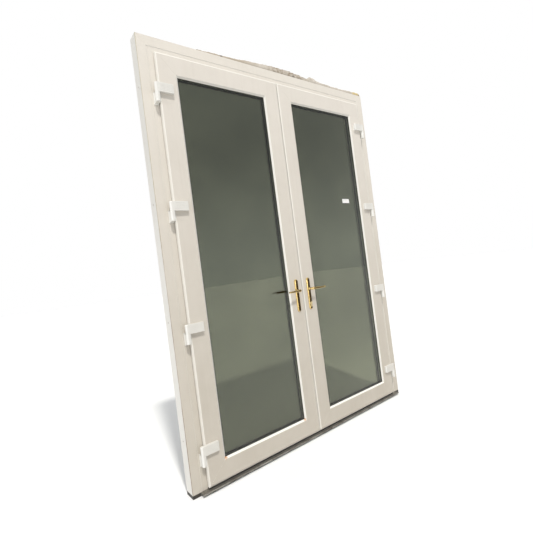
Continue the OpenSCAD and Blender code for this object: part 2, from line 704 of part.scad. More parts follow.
module meeting_profile() {
    color("#f0eee9") difference() {
        meeting_length() meeting_section();
        box([side_x - 1, bolt_y - 8.1, faceplate_z[0] - 0.1], [side_x + 2.5, bolt_y + 8.1, faceplate_z[1] + 0.1]);
        for (z = keep_zs) bolt_path(z, bolt_throw, side_x - 1, body_x + 1, 0.5);
        for (z = riser_zs) box([side_x, bolt_y - 4.2, z - 0.2], [body_x + 1, bolt_y + 4.2, z + 12.2]);
    }
}
riser_zs = [case_z[0], case_z[1] - 12];
faceplate_z = [bolt_zs[0] - 60, bolt_zs[2] + 60];
module lock_box(side) {
    hand(side) difference() {
        box([case_x[0], bolt_y - 8, case_z[0]], [case_x[1], bolt_y + 8, case_z[1]]);
        box([case_x[0] + 1.5, bolt_y - 6.5, case_z[0] + 1.5],
            [case_x[1] - 1.5, bolt_y + 6.5, case_z[1] - 1.5]);
        translate([handle_x, 0, axis_z]) rod_y(spindle_a * 0.5 * sqrt(2) + 0.6, bolt_y - 9, bolt_y + 9);
        for (z = screw_zs) translate([handle_x, 0, axis_z + z]) rod_y(2.8, bolt_y - 9, bolt_y + 9);
        if (side > 0) {
            translate([handle_x, 0, key_z]) along_y(bolt_y - 9, bolt_y + 9) euro(0.4);
            for (z = [bolt_zs[1], latch_z]) bolt_path(z, bolt_throw, case_x[0] - 1, case_x[0] + 3, 0.4);
        }
    }
}
// Lock case with its long faceplate, joined by a riser at each end of the case.
module lock_case() {
    color("#c9c9c6") {
        lock_box(1);
        for (z = riser_zs)
            box([side_x + 2.3, bolt_y - 4, z], [case_x[0] + eps, bolt_y + 4, z + 12]);
        difference() {
            box([side_x, bolt_y - 8, faceplate_z[0]], [side_x + 2.3 + eps, bolt_y + 8, faceplate_z[1]]);
            for (z = keep_zs) bolt_path(z, bolt_throw, side_x - 1, side_x + 4, 0.4);
        }
    }
}
module shootbolt_gearbox() { color("#c9c9c6") lock_box(-1); }
module a_bolt(z, back) {
    box([side_x + 0.3, bolt_y - bolt[1] / 2, z - bolt[0] / 2],
        [back, bolt_y + bolt[1] / 2, z + bolt[0] / 2]);
}
module dead_bolts() { color("#d5d5d2") for (z = bolt_zs) a_bolt(z, body_x + 8); }
// Latch, its nose bevelled on the inner side.
module latch_bolt() {
    color("#d5d5d2") difference() {
        a_bolt(latch_z, body_x + 12);
        translate([side_x + 0.3, bolt_y - bolt[1] / 2, latch_z - 20]) rotate([0, 0, -40])
            translate([-20, 0, 0]) mirror([0, 1, 0]) cube([40, 20, 40]);
    }
}
// Key cylinder body, split by the cam slot, and the plug and cam that turn in it.
module lock_cylinder() {
    y0 = -proud - plate[2] - 2.5;
    y1 = 2 * mid_y - y0;
    color("#b8974f") translate([handle_x, 0, key_z]) difference() {
        along_y(y0, y1) euro(0);
        rod_y(6.55, y0 - 1, y1 + 1);
        box([-20, bolt_y - 5.3, -12.8], [20, bolt_y + 5.3, 20]);
    }
}
module cylinder_plug() {
    y0 = -proud - plate[2] - 2.3;
    y1 = 2 * mid_y - y0;
    color("#cdb070") translate([handle_x, 0, key_z]) difference() {
        union() {
            rod_y(6.5, y0, y1);
            along_y(bolt_y - 5, bolt_y + 5) {
                circle(r = 8);
                translate([-2.5, 0]) square([5, 12]);
            }
        }
        box([-0.8, y0 - 1, -4.5], [0.8, y0 + 12, 4.5]);
        box([-0.8, y1 - 12, -4.5], [0.8, y1 + 1, 4.5]);
    }
}
module upper_shootbolt() {
    color("silver") translate([shoot_at[0], shoot_at[1], axis_z + 60])
        cylinder(r = shoot_r, h = leaf_z1 - body_u + 1 - axis_z - 60);
}
module lower_shootbolt() {
    color("silver") translate([shoot_at[0], shoot_at[1], leaf_z0 + body_u - 1])
        cylinder(r = shoot_r, h = axis_z - 60 - leaf_z0 - body_u + 1);
}

outer_frame();
frame_reinforcement();
threshold();
threshold_end_blocks();
threshold_rebate();
threshold_seal();
frame_seal();
shootbolt_keeps();
hinge_bodies();
hinge_pins();
sealant_remains();
sash(-1);  // left_sash
reinforcement(-1);  // left_reinforcement
pane(-1, pane_y);  // left_outer_pane
pane(-1, pane2_y);  // left_inner_pane
spacer(-1);  // left_spacer
edge_seal(-1);  // left_edge_seal
gaskets(-1);  // left_gaskets
beads(-1);  // left_beads
packers(-1);  // left_packers
leaf_seal(-1);  // left_leaf_seal
hinge_flags(-1);  // left_hinge_flags
flying_mullion();
mullion_seal();
lock_keeps();
shootbolt_gearbox();
backplate(-1, false);  // left_outer_plate
backplate(-1, true);  // left_inner_plate
handle_screws(-1);  // left_handle_screws
lever(-1, false);  // left_outer_lever
lever(-1, true);  // left_inner_lever
spindle(-1);  // left_spindle
upper_shootbolt();
lower_shootbolt();
sash(1);  // right_sash
reinforcement(1);  // right_reinforcement
pane(1, pane_y);  // right_outer_pane
pane(1, pane2_y);  // right_inner_pane
spacer(1);  // right_spacer
edge_seal(1);  // right_edge_seal
gaskets(1);  // right_gaskets
beads(1);  // right_beads
packers(1);  // right_packers
leaf_seal(1);  // right_leaf_seal
hinge_flags(1);  // right_hinge_flags
meeting_profile();
meeting_seal();
lock_case();
lock_cylinder();
cylinder_plug();
backplate(1, false);  // right_outer_plate
backplate(1, true);  // right_inner_plate
handle_screws(1);  // right_handle_screws
lever(1, false);  // right_outer_lever
lever(1, true);  // right_inner_lever
spindle(1);  // right_spindle
latch_bolt();
dead_bolts();
sticker_label();  // glass_sticker
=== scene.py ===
# %% [markdown]
# # A pair of french doors in their frame
# Two glazed leaves hang in a white welded plastic frame that stands on a low metal threshold.
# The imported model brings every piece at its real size, in metres, so this lesson is about looks:
# where to stand, how to light white plastic and dark glass, how each finish is made from nodes,
# and how the cast brass and the crumbs of old sealant get the soft shapes that CAD leaves plain.

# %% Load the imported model
import json
import math
import random

import bmesh
import bpy
from mathutils import Matrix, Vector, noise


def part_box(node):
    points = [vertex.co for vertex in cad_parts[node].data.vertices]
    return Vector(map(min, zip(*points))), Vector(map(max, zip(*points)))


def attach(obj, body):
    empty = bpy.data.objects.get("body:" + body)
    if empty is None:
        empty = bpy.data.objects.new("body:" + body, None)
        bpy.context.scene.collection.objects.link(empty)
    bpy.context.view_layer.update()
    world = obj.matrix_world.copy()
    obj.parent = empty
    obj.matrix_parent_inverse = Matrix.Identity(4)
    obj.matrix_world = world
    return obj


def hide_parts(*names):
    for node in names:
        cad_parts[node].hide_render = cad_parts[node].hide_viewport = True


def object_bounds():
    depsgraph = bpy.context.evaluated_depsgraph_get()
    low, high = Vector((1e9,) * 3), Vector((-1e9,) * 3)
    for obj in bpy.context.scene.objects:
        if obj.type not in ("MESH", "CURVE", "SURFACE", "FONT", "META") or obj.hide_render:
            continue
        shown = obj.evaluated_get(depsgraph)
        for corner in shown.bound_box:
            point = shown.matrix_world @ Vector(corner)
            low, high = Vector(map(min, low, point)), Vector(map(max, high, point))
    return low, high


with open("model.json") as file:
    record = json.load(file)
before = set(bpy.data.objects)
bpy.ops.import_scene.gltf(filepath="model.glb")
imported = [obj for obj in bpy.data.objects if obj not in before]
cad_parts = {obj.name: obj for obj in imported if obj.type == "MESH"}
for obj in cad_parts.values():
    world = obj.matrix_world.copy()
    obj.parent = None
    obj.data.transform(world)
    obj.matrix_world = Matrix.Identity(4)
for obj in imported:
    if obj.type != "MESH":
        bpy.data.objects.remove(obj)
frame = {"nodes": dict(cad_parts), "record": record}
cad_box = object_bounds()
nodes = frame["nodes"]
scene = bpy.context.scene
print("nodes", len(nodes), "box", [round(v, 3) for v in (*cad_box[0], *cad_box[1])])

# %% [markdown]
# ## Landmarks
# Everything else is placed from the boxes of the pieces themselves. The frame's box gives its
# edges, a spindle gives the height that the levers turn at, and later the left leaf's gaskets give
# the corners of its glass.

# %% Landmarks
frame_lo, frame_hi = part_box("outer_frame")
lever_z = sum(corner.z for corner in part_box("right_spindle")) / 2
print("frame", round(frame_hi.x - frame_lo.x, 3), "x", round(frame_hi.z, 3), "lever at", round(lever_z, 3))

# %% [markdown]
# ## Camera
# A wide lens stands close to the left jamb at chest height, turned well to the right and rolled
# a little, so the doors lean and taper. The camera's three axes are worked out from its heading,
# pitch and roll and written straight into its matrix, which leaves nothing to aim by hand.

# %% Camera
heading, pitch, roll = 0.6440, 0.00605, -0.12749
ahead = Vector((math.sin(heading) * math.cos(pitch), math.cos(heading) * math.cos(pitch), math.sin(pitch)))
level_right = Vector((math.cos(heading), -math.sin(heading), 0))
level_up = level_right.cross(ahead)
right = math.cos(roll) * level_right + math.sin(roll) * level_up
up = math.cos(roll) * level_up - math.sin(roll) * level_right
stand = Vector((frame_lo.x - 0.672, -1.727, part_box("threshold")[1].z + 1.0595))
camera = bpy.data.objects.new("camera", bpy.data.cameras.new("camera"))
scene.collection.objects.link(camera)
camera.matrix_world = Matrix((
    (right.x, up.x, -ahead.x, stand.x), (right.y, up.y, -ahead.y, stand.y),
    (right.z, up.z, -ahead.z, stand.z), (0, 0, 0, 1)))
camera.data.lens, camera.data.sensor_width = 24.56, 36
camera.data.clip_start, camera.data.clip_end = 0.05, 200
scene.camera = camera
print("camera at", [round(v, 3) for v in stand])

# %% [markdown]
# ## Node helpers
# Materials are node trees. These small helpers add a node, set its inputs by name and link it, so
# that the recipes below read as recipes. A group is a named effect with its own inputs, built
# once and placed in each material with different values.

# %% Node helpers
def add(tree, kind, inputs=None, **settings):
    """A node of that kind, with its settings and inputs set; an input given a socket is linked."""
    node = tree.nodes.new(kind)
    for key, value in settings.items():
        setattr(node, key, value)
    for key, value in (inputs or {}).items():
        if isinstance(value, bpy.types.NodeSocket):
            tree.links.new(value, node.inputs[key])
        else:
            node.inputs[key].default_value = value
    return node


def math_node(tree, operation, a, b=0.0, clamp=False):
    """The result socket of one Math node."""
    return add(tree, "ShaderNodeMath", {0: a, 1: b}, operation=operation, use_clamp=clamp).outputs[0]


def remap(tree, value, low, high, to_low=0.0, to_high=1.0):
    """A value's range stretched to another, smoothly and clamped."""
    return add(tree, "ShaderNodeMapRange", {"Value": value, "From Min": low, "From Max": high,
        "To Min": to_low, "To Max": to_high}, interpolation_type="SMOOTHSTEP").outputs["Result"]


def blend_colour(tree, factor, a, b, how="MIX"):
    """The colour socket of one Mix node."""
    node = add(tree, "ShaderNodeMix", data_type="RGBA", blend_type=how)
    for key, value in ((0, factor), (6, a), (7, b)):
        if isinstance(value, bpy.types.NodeSocket):
            tree.links.new(value, node.inputs[key])
        else:
            node.inputs[key].default_value = value
    return node.outputs[2]


def new_group(name, inputs, outputs):
    """An empty node group with named sockets, and its input and output nodes."""
    tree = bpy.data.node_groups.new(name, "ShaderNodeTree")
    for label, kind, value in inputs:
        socket = tree.interface.new_socket(label, in_out="INPUT", socket_type=kind)
        socket.default_value = value
    for label, kind in outputs:
        tree.interface.new_socket(label, in_out="OUTPUT", socket_type=kind)
    return tree, tree.nodes.new("NodeGroupInput"), tree.nodes.new("NodeGroupOutput")


def place(tree, group, **inputs):
    """The group placed in a material, with its inputs set."""
    return add(tree, "ShaderNodeGroup", {k.replace("_", " "): v for k, v in inputs.items()}, node_tree=group)


FLOAT, VECTOR = "NodeSocketFloat", "NodeSocketVector"
print("node helpers ready")

# %% [markdown]
# ## Shared effects
# Rain leaves long, narrow streaks on anything upright. Noise that is squeezed sideways and
# stretched in height gives them. Mottling is broad, soft variation; grain is the fine skin of
# moulded or extruded plastic; a spot is a soft stain round one point.

# %% Rain streaks
streaks, g_in, g_out = new_group("rain_streaks",
    [("Width", FLOAT, 60.0), ("Length", FLOAT, 1.2), ("Amount", FLOAT, 0.5)], [("Mask", FLOAT)])
coords = add(streaks, "ShaderNodeTexCoord").outputs["Object"]
across = add(streaks, "ShaderNodeCombineXYZ", {"X": g_in.outputs["Width"], "Y": g_in.outputs["Width"],
    "Z": g_in.outputs["Length"]}).outputs[0]
squeezed = add(streaks, "ShaderNodeVectorMath", {0: coords, 1: across}, operation="MULTIPLY").outputs[0]
run = add(streaks, "ShaderNodeTexNoise", {"Vector": squeezed, "Scale": 1.0, "Detail": 4.0, "Roughness": 0.6})
where = add(streaks, "ShaderNodeTexNoise", {"Vector": coords, "Scale": 2.2, "Detail": 2.0})
lines = remap(streaks, run.outputs["Fac"], 0.46, 0.72)
patches = remap(streaks, where.outputs["Fac"], 0.35, 0.65)
streaky = math_node(streaks, "MULTIPLY", lines, patches)
mask = math_node(streaks, "MULTIPLY", streaky, g_in.outputs["Amount"], True)
streaks.links.new(mask, g_out.inputs["Mask"])
print("group", streaks.name)

# %% Mottling
mottle, g_in, g_out = new_group("mottling",
    [("Scale", FLOAT, 6.0), ("Amount", FLOAT, 0.5)], [("Mask", FLOAT)])
coords = add(mottle, "ShaderNodeTexCoord").outputs["Object"]
cloud = add(mottle, "ShaderNodeTexNoise", {"Vector": coords, "Scale": g_in.outputs["Scale"], "Detail": 6.0,
    "Roughness": 0.65})
clouds = remap(mottle, cloud.outputs["Fac"], 0.36, 0.7)
mask = math_node(mottle, "MULTIPLY", clouds, g_in.outputs["Amount"], True)
mottle.links.new(mask, g_out.inputs["Mask"])
print("group", mottle.name)

# %% Fine grain
grain, g_in, g_out = new_group("fine_grain",
    [("Scale", FLOAT, 700.0), ("Stretch", FLOAT, 1.0)], [("Height", FLOAT)])
coords = add(grain, "ShaderNodeTexCoord").outputs["Object"]
stretch = add(grain, "ShaderNodeCombineXYZ", {"X": 1.0, "Y": 1.0, "Z": g_in.outputs["Stretch"]}).outputs[0]
drawn = add(grain, "ShaderNodeVectorMath", {0: coords, 1: stretch}, operation="MULTIPLY").outputs[0]
skin = add(grain, "ShaderNodeTexNoise", {"Vector": drawn, "Scale": g_in.outputs["Scale"], "Detail": 3.0})
grain.links.new(skin.outputs["Fac"], g_out.inputs["Height"])
print("group", grain.name)

# %% Spot
spot, g_in, g_out = new_group("spot",
    [("Centre", VECTOR, (0, 0, 0)), ("Radius", FLOAT, 0.01), ("Amount", FLOAT, 1.0)], [("Mask", FLOAT)])
coords = add(spot, "ShaderNodeTexCoord").outputs["Object"]
away = add(spot, "ShaderNodeVectorMath", {0: coords, 1: g_in.outputs["Centre"]},
    operation="DISTANCE").outputs["Value"]
ragged = add(spot, "ShaderNodeTexNoise", {"Vector": coords, "Scale": 220.0, "Detail": 3.0}).outputs["Fac"]
reach = math_node(spot, "MULTIPLY", g_in.outputs["Radius"], math_node(spot, "ADD", ragged, 0.5))
inside = math_node(spot, "SUBTRACT", 1.0, math_node(spot, "DIVIDE", away, reach), True)
mask = math_node(spot, "MULTIPLY", inside, g_in.outputs["Amount"], True)
spot.links.new(mask, g_out.inputs["Mask"])
print("group", spot.name)

# %% [markdown]
# ## Which way a surface looks
# Grime settles on the broad faces that look out from the door, and dust lies on whatever faces up.
# Bevels and side faces get a lighter colour, a painted highlight, and the broad faces of brass a
# darker one, a painted dark reflection. The surface's own normal, read in the model's frame, tells
# them apart, so a swung leaf keeps its marks.

# %% Broad faces and sills
broad, g_in, g_out = new_group("broad_face", [("Low", FLOAT, 0.80), ("High", FLOAT, 0.97)],
    [("Mask", FLOAT), ("Upward", FLOAT)])
turned = add(broad, "ShaderNodeSeparateXYZ", {0: add(broad, "ShaderNodeTexCoord").outputs["Normal"]})
flat_on = math_node(broad, "ABSOLUTE", turned.outputs["Y"])
ramp = add(broad, "ShaderNodeMapRange", {"Value": flat_on, "From Min": g_in.outputs["Low"],
    "From Max": g_in.outputs["High"]}, interpolation_type="SMOOTHSTEP")
broad.links.new(ramp.outputs["Result"], g_out.inputs["Mask"])
broad.links.new(remap(broad, turned.outputs["Z"], 0.88, 0.99), g_out.inputs["Upward"])
print("group", broad.name)

# %% [markdown]
# ## White plastic
# The profiles are extruded white plastic that has stood outdoors: warm white, a little glossy,
# greyer towards the foot where rain splashes dirt up, with faint streaks. Bevels and side faces get
# a lighter colour than the broad faces, a painted highlight, and dust lies on upward ones. Masks add
# this soil over the base colour, and the skin is rougher where it lies. A painted texture could do
# the same, but masks need no unwrapping and suit every length. The frame's outer edges and two glass
# corners get stains.

# %% White plastic
def new_material(name):
    """A material with an empty tree but for its output and one Principled shader."""
    material = bpy.data.materials.new(name)
    material.use_nodes = True
    shader = material.node_tree.nodes["Principled BSDF"]
    return material, material.node_tree, shader


def object_axis(tree, axis):
    """One coordinate of the point being shaded, in metres in the model's own frame."""
    coords = add(tree, "ShaderNodeTexCoord").outputs["Object"]
    return add(tree, "ShaderNodeSeparateXYZ", {0: coords}).outputs[axis]


SOIL, RUST = (0.30, 0.255, 0.18, 1), (0.50, 0.20, 0.03, 1)
EDGE_LOW, EDGE_HIGH = (0.17, 0.085, 0.03, 1), (0.36, 0.31, 0.10, 1)
SOIL_STRENGTH, TOP_DUST, RUN_STRENGTH = 0.55, 0.55, 0.3
clean_above = frame_hi.z * 1.12  # the height at which the soil from the foot has faded out


def edge_stain(tree, colour):
    """Grime on the outermost millimetres of the frame's front, brown below and yellow above."""
    side = math_node(tree, "ABSOLUTE", object_axis(tree, "X"))
    rim = remap(tree, side, frame_hi.x - 0.0028, frame_hi.x - 0.0004)
    front = remap(tree, object_axis(tree, "Y"), frame_lo.y + 0.005, frame_lo.y + 0.001)
    patchy = place(tree, mottle, Scale=3.0, Amount=1.0).outputs[0]
    stain = math_node(tree, "MULTIPLY", math_node(tree, "MULTIPLY", rim, front),
        remap(tree, patchy, 0.0, 1.0, 0.45, 0.95))
    height = remap(tree, object_axis(tree, "Z"), 0.7, 1.9)
    return blend_colour(tree, stain, colour, blend_colour(tree, height, EDGE_LOW, EDGE_HIGH))


def white_plastic(name, face, bevel_highlight, streak=0.30, foot=0.78, rough=0.34, spots=(), edges=False):
    """White plastic: a duller broad face, bevels and sides painted lighter as a painted highlight, soil that
    gathers downwards, and stains.
    """
    material, tree, shader = new_material(name)
    facing = place(tree, broad, Low=0.80, High=0.97)
    # broad faces take the face colour; bevels and side faces take the lighter one, a painted highlight
    clean = blend_colour(tree, facing.outputs["Mask"], bevel_highlight, face)
    run = place(tree, streaks, Width=55.0, Length=1.1, Amount=streak).outputs[0]
    cloud = place(tree, mottle, Scale=5.0, Amount=0.10).outputs[0]
    low = remap(tree, object_axis(tree, "Z"), clean_above, 0.0, 0.0, foot)
    settled = math_node(tree, "ADD", math_node(tree, "MULTIPLY", facing.outputs["Mask"], low),
        math_node(tree, "MULTIPLY", facing.outputs["Upward"], TOP_DUST))
    dirt = math_node(tree, "ADD", math_node(tree, "MULTIPLY", run, RUN_STRENGTH),
        math_node(tree, "ADD", cloud, settled), True)
    colour = blend_colour(tree, math_node(tree, "MULTIPLY", dirt, SOIL_STRENGTH), clean, SOIL)
    if edges:
        colour = edge_stain(tree, colour)
    for centre, radius in spots:
        mark = place(tree, spot, Centre=centre, Radius=radius, Amount=1.0).outputs[0]
        colour = blend_colour(tree, mark, colour, RUST)
    tree.links.new(colour, shader.inputs["Base Color"])
    tree.links.new(remap(tree, dirt, 0.0, 1.0, rough, rough + 0.25), shader.inputs["Roughness"])
    bump = add(tree, "ShaderNodeBump", {"Height": place(tree, grain, Scale=500.0, Stretch=0.15).outputs[0],
        "Strength": 0.04, "Distance": 0.0005})
    tree.links.new(bump.outputs[0], shader.inputs["Normal"])
    return material


glass_lo, glass_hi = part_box("left_gaskets")
corner_spots = [((glass_lo.x + 0.008, -0.014, glass_lo.z + 0.004), 0.014),
    ((glass_hi.x - 0.008, -0.014, glass_lo.z + 0.004), 0.012)]
# each second colour is the lighter one given to bevels and side faces, a painted highlight
frame_white = white_plastic("frame_white", (0.78, 0.735, 0.665, 1), (0.84, 0.82, 0.77, 1), edges=True)
leaf_white = white_plastic("leaf_white", (0.755, 0.71, 0.645, 1), (0.86, 0.84, 0.78, 1), spots=corner_spots)
bead_white = white_plastic("bead_white", (0.74, 0.72, 0.67, 1), (0.84, 0.83, 0.79, 1), streak=0.1)
hinge_white = white_plastic("hinge_white", (0.82, 0.81, 0.77, 1), (0.86, 0.855, 0.82, 1),
    streak=0.08, foot=0.45, rough=0.26)
print("white plastics made")

# %% [markdown]
# ## Brass
# The handles are polished brass whose lacquer has gone. Tarnish lies in thin clouds everywhere,
# and the broad faces that look out from the door are painted dark, a painted dark reflection, so
# that the bevels stay brighter. Metal has no colour but the one it gives to what it mirrors, so the
# tarnish and the painted dark reflection also make it rougher, which kills the mirror.

# %% Brass
def brass(name, bright, dark, tarnish, dark_reflection_amount):
    """Polished brass with brown tarnish in clouds and, by the last amount, a painted dark reflection on the
    broad faces.
    """
    material, tree, shader = new_material(name)
    cloud = place(tree, mottle, Scale=45.0, Amount=tarnish).outputs[0]
    fine = place(tree, mottle, Scale=260.0, Amount=tarnish * 0.6).outputs[0]
    facing = place(tree, broad, Low=0.78, High=0.98).outputs["Mask"]
    reflection_gaps = place(tree, mottle, Scale=70.0, Amount=0.22).outputs[0]
    # the broad faces that look out are painted dark by the last amount, a painted dark reflection with mottled
    # gaps
    faces = math_node(tree, "MULTIPLY", facing, math_node(tree, "SUBTRACT", dark_reflection_amount, reflection_gaps, True))
    mask = math_node(tree, "MAXIMUM", math_node(tree, "MAXIMUM", cloud, fine), faces)
    tree.links.new(blend_colour(tree, mask, bright, dark), shader.inputs["Base Color"])
    tree.links.new(remap(tree, mask, 0.0, 1.0, 0.16, 0.48), shader.inputs["Roughness"])
    shader.inputs["Metallic"].default_value = 1.0
    bump = add(tree, "ShaderNodeBump", {"Height": place(tree, grain, Scale=900.0, Stretch=1.0).outputs[0],
        "Strength": 0.05, "Distance": 0.0003})
    tree.links.new(bump.outputs[0], shader.inputs["Normal"])
    return material


# the last amount paints a dark reflection on the broad faces: fully on the handles, a little on the lock
old_brass = brass("old_brass", (0.90, 0.66, 0.27, 1), (0.050, 0.030, 0.012, 1), 0.40, 1.08)
key_brass = brass("key_brass", (0.80, 0.66, 0.38, 1), (0.30, 0.22, 0.12, 1), 0.3, 0.3)
print("brass made")

# %% [markdown]
# ## Glass
# Each leaf holds a sealed unit of two panes. Float glass is faintly green and mirrors a few
# percent at every face; with a dark room behind it the pane reads as deep grey-green. The dark tint
# on the shader is painted shade that stands for that room. Dust near the foot and painted reflection
# in broad clouds only lighten the tint, and the surface stays perfectly smooth, so that one can look
# through it.

# %% Glass
def glass(name, tint, reflection_and_dust_tint):
    """Clear float glass with a dark tint, painted shade; dust near the foot and painted reflection in broad
    clouds only lighten it.
    """
    material, tree, shader = new_material(name)
    # broad clouds of lighter tint are painted reflection; the lighter tint near the foot is dust
    cloud = place(tree, mottle, Scale=2.2, Amount=0.5).outputs[0]
    low = remap(tree, object_axis(tree, "Z"), 0.75, 0.15, 0.0, 0.9)
    dust_and_reflection_mask = math_node(tree, "MAXIMUM", cloud, low)
    tree.links.new(blend_colour(tree, dust_and_reflection_mask, tint, reflection_and_dust_tint), shader.inputs["Base Color"])
    shader.inputs["Transmission Weight"].default_value = 1.0
    shader.inputs["IOR"].default_value = 1.5
    shader.inputs["Roughness"].default_value = 0.0
    return material


# the first tint is dark, painted shade of the room behind; the second is lighter, dust and painted reflection
pane_glass = glass("pane_glass", (0.335, 0.35, 0.29, 1), (0.43, 0.445, 0.365, 1))
print("glass made")

# %% [markdown]
# ## Metals, rubber and the rest
# The threshold is mill-finish aluminium gone dull grey-brown underfoot, its darkest brown partly
# painted shade on the nose; the spacer bars inside the units are bright folded aluminium, the bars
# and bolts are zinc-plated steel. Gaskets and seals are matt black rubber with a little bloom on it.

# %% Metals
def metal(name, clean, soil, dirt, rough):
    """Metal that is darker and rougher where soil lies on it in clouds."""
    material, tree, shader = new_material(name)
    cloud = place(tree, mottle, Scale=18.0, Amount=dirt).outputs[0]
    tree.links.new(blend_colour(tree, cloud, clean, soil), shader.inputs["Base Color"])
    tree.links.new(remap(tree, cloud, 0.0, 1.0, rough, rough + 0.3), shader.inputs["Roughness"])
    shader.inputs["Metallic"].default_value = 1.0
    bump = add(tree, "ShaderNodeBump", {"Height": place(tree, grain, Scale=300.0, Stretch=1.0).outputs[0],
        "Strength": 0.12, "Distance": 0.0004})
    tree.links.new(bump.outputs[0], shader.inputs["Normal"])
    return material


# the threshold's dark soil colour is dirt and painted shade of its nose together
threshold_metal = metal("threshold_metal", (0.36, 0.35, 0.32, 1), (0.13, 0.115, 0.095, 1), 0.8, 0.5)
spacer_metal = metal("spacer_metal", (0.78, 0.79, 0.80, 1), (0.60, 0.61, 0.62, 1), 0.3, 0.3)
plated_steel = metal("plated_steel", (0.60, 0.60, 0.58, 1), (0.38, 0.36, 0.32, 1), 0.4, 0.3)
print("metals made")

# %% Rubber, black plastic and label
def matt(name, base, other, scale=30.0, amount=0.5, rough=0.6, bump_strength=0.2):
    """A dull skin of two colours in clouds, with a fine grain."""
    material, tree, shader = new_material(name)
    cloud = place(tree, mottle, Scale=scale, Amount=amount).outputs[0]
    tree.links.new(blend_colour(tree, cloud, base, other), shader.inputs["Base Color"])
    tree.links.new(remap(tree, cloud, 0.0, 1.0, rough, min(1.0, rough + 0.2)), shader.inputs["Roughness"])
    bump = add(tree, "ShaderNodeBump", {"Height": place(tree, grain, Scale=400.0, Stretch=1.0).outputs[0],
        "Strength": bump_strength, "Distance": 0.0005})
    tree.links.new(bump.outputs[0], shader.inputs["Normal"])
    return material


black_rubber = matt("black_rubber", (0.014, 0.014, 0.013, 1), (0.045, 0.043, 0.038, 1))
black_plastic = matt("black_plastic", (0.020, 0.018, 0.016, 1), (0.075, 0.055, 0.035, 1), 12.0, 0.7, 0.5)
label_paper = matt("label_paper", (0.86, 0.86, 0.85, 1), (0.74, 0.73, 0.70, 1), 60.0, 0.4, 0.5, 0.05)
print("matt finishes made")

# %% [markdown]
# ## Torn sealant
# The strip left along the head is a mix of stuff: cream sealant, brown where it broke over the
# middle, dark at its thin end, yellow foam at the right, with a few small dark marks. Masks along
# its length place each of them, because the patches belong to places and not to chance.

# %% Sealant finish
seal_lo, seal_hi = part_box("sealant_remains")
CREAM, DEEP_CREAM, BROWN = (0.66, 0.61, 0.54, 1), (0.50, 0.45, 0.37, 1), (0.20, 0.135, 0.075, 1)
THIN_END, FOAM, DARK_MARK = (0.34, 0.26, 0.16, 1), (0.62, 0.46, 0.15, 1), (0.05, 0.035, 0.025, 1)
# where along the head each patch begins and is full, in metres
broken_left, broken_right = (-0.06, 0.03), (0.31, 0.25)
thin_from, foam_from = (-0.10, -0.25), (0.765, 0.80)
dark_marks = ((-0.532, 0.016), (-0.374, 0.014), (0.177, 0.013), (0.858, 0.012))  # place, radius

sealant_finish, tree, shader = new_material("sealant_finish")
along_x = object_axis(tree, "X")
cream = blend_colour(tree, place(tree, mottle, Scale=9.0, Amount=0.8).outputs[0], CREAM, DEEP_CREAM)
broken = math_node(tree, "MULTIPLY", remap(tree, along_x, *broken_left), remap(tree, along_x, *broken_right))
brown = math_node(tree, "MULTIPLY", place(tree, mottle, Scale=60.0, Amount=1.0).outputs[0],
    math_node(tree, "ADD", 0.22, math_node(tree, "MULTIPLY", broken, 0.75)), True)
colour = blend_colour(tree, brown, cream, BROWN)
thin_end = math_node(tree, "MULTIPLY", remap(tree, along_x, *thin_from), 0.45)
colour = blend_colour(tree, thin_end, colour, THIN_END)
foam = math_node(tree, "MULTIPLY", remap(tree, along_x, *foam_from),
    remap(tree, place(tree, mottle, Scale=34.0, Amount=1.0).outputs[0], 0.0, 1.0, 1.0, 0.25))
colour = blend_colour(tree, foam, colour, FOAM)
for where_x, size in dark_marks:
    mark = place(tree, spot, Centre=(where_x, seal_lo.y, seal_lo.z + 0.006), Radius=size, Amount=1.0)
    colour = blend_colour(tree, mark.outputs[0], colour, DARK_MARK)
tree.links.new(colour, shader.inputs["Base Color"])
shader.inputs["Roughness"].default_value = 0.88
bump = add(tree, "ShaderNodeBump", {"Height": place(tree, grain, Scale=260.0, Stretch=1.0).outputs[0],
    "Strength": 0.7, "Distance": 0.001})
tree.links.new(bump.outputs[0], shader.inputs["Normal"])
print("finish", sealant_finish.name)

# %% [markdown]
# ## Finishes onto the pieces
# Each piece in the record names a material slot, so one small table turns slots into finishes.

# %% Assign the finishes
finish = {"white_profile": leaf_white, "white_bead": bead_white, "white_hinge": hinge_white,
    "bar_steel": plated_steel, "lock_steel": plated_steel, "threshold_metal": threshold_metal,
    "spacer_metal": spacer_metal, "black_rubber": black_rubber, "black_plastic": black_plastic,
    "pane_glass": pane_glass, "handle_brass": old_brass, "old_sealant": sealant_finish,
    "white_label": label_paper}
for part in frame["record"]["subparts"]:
    nodes[part["node"]].data.materials.clear()
    nodes[part["node"]].data.materials.append(finish[part["material_slot"]])
nodes["outer_frame"].data.materials[0] = frame_white
for name in ("lock_cylinder", "cylinder_plug"):
    nodes[name].data.materials[0] = key_brass

# %% [markdown]
# ## Cast levers
# A lever is cast in one: a collar at the backplate, a slim neck, a bend, a bar that bows
# outwards as it thins, and a small ball at its tip. A cylinder and a box would show their joins, so
# one skin is lofted instead: rings of points stand along a drawn path, each with its own width
# and height, and a subdivision surface rounds them into one soft casting.

# %% Loft helper
def loft(name, rings):
    """A closed skin over rings that all hold the same number of points."""
    mesh = bmesh.new()
    rows = [[mesh.verts.new(point) for point in ring] for ring in rings]
    count = len(rows[0])
    for low, high in zip(rows, rows[1:]):
        for i in range(count):
            mesh.faces.new((low[i], low[(i + 1) % count], high[(i + 1) % count], high[i]))
    mesh.faces.new(rows[0][::-1])
    mesh.faces.new(rows[-1])
    bmesh.ops.recalc_face_normals(mesh, faces=mesh.faces)
    data = bpy.data.meshes.new(name)
    mesh.to_mesh(data)
    mesh.free()
    for polygon in data.polygons:
        polygon.use_smooth = True
    piece = bpy.data.objects.new(name, data)
    scene.collection.objects.link(piece)
    return piece


print("loft helper ready")

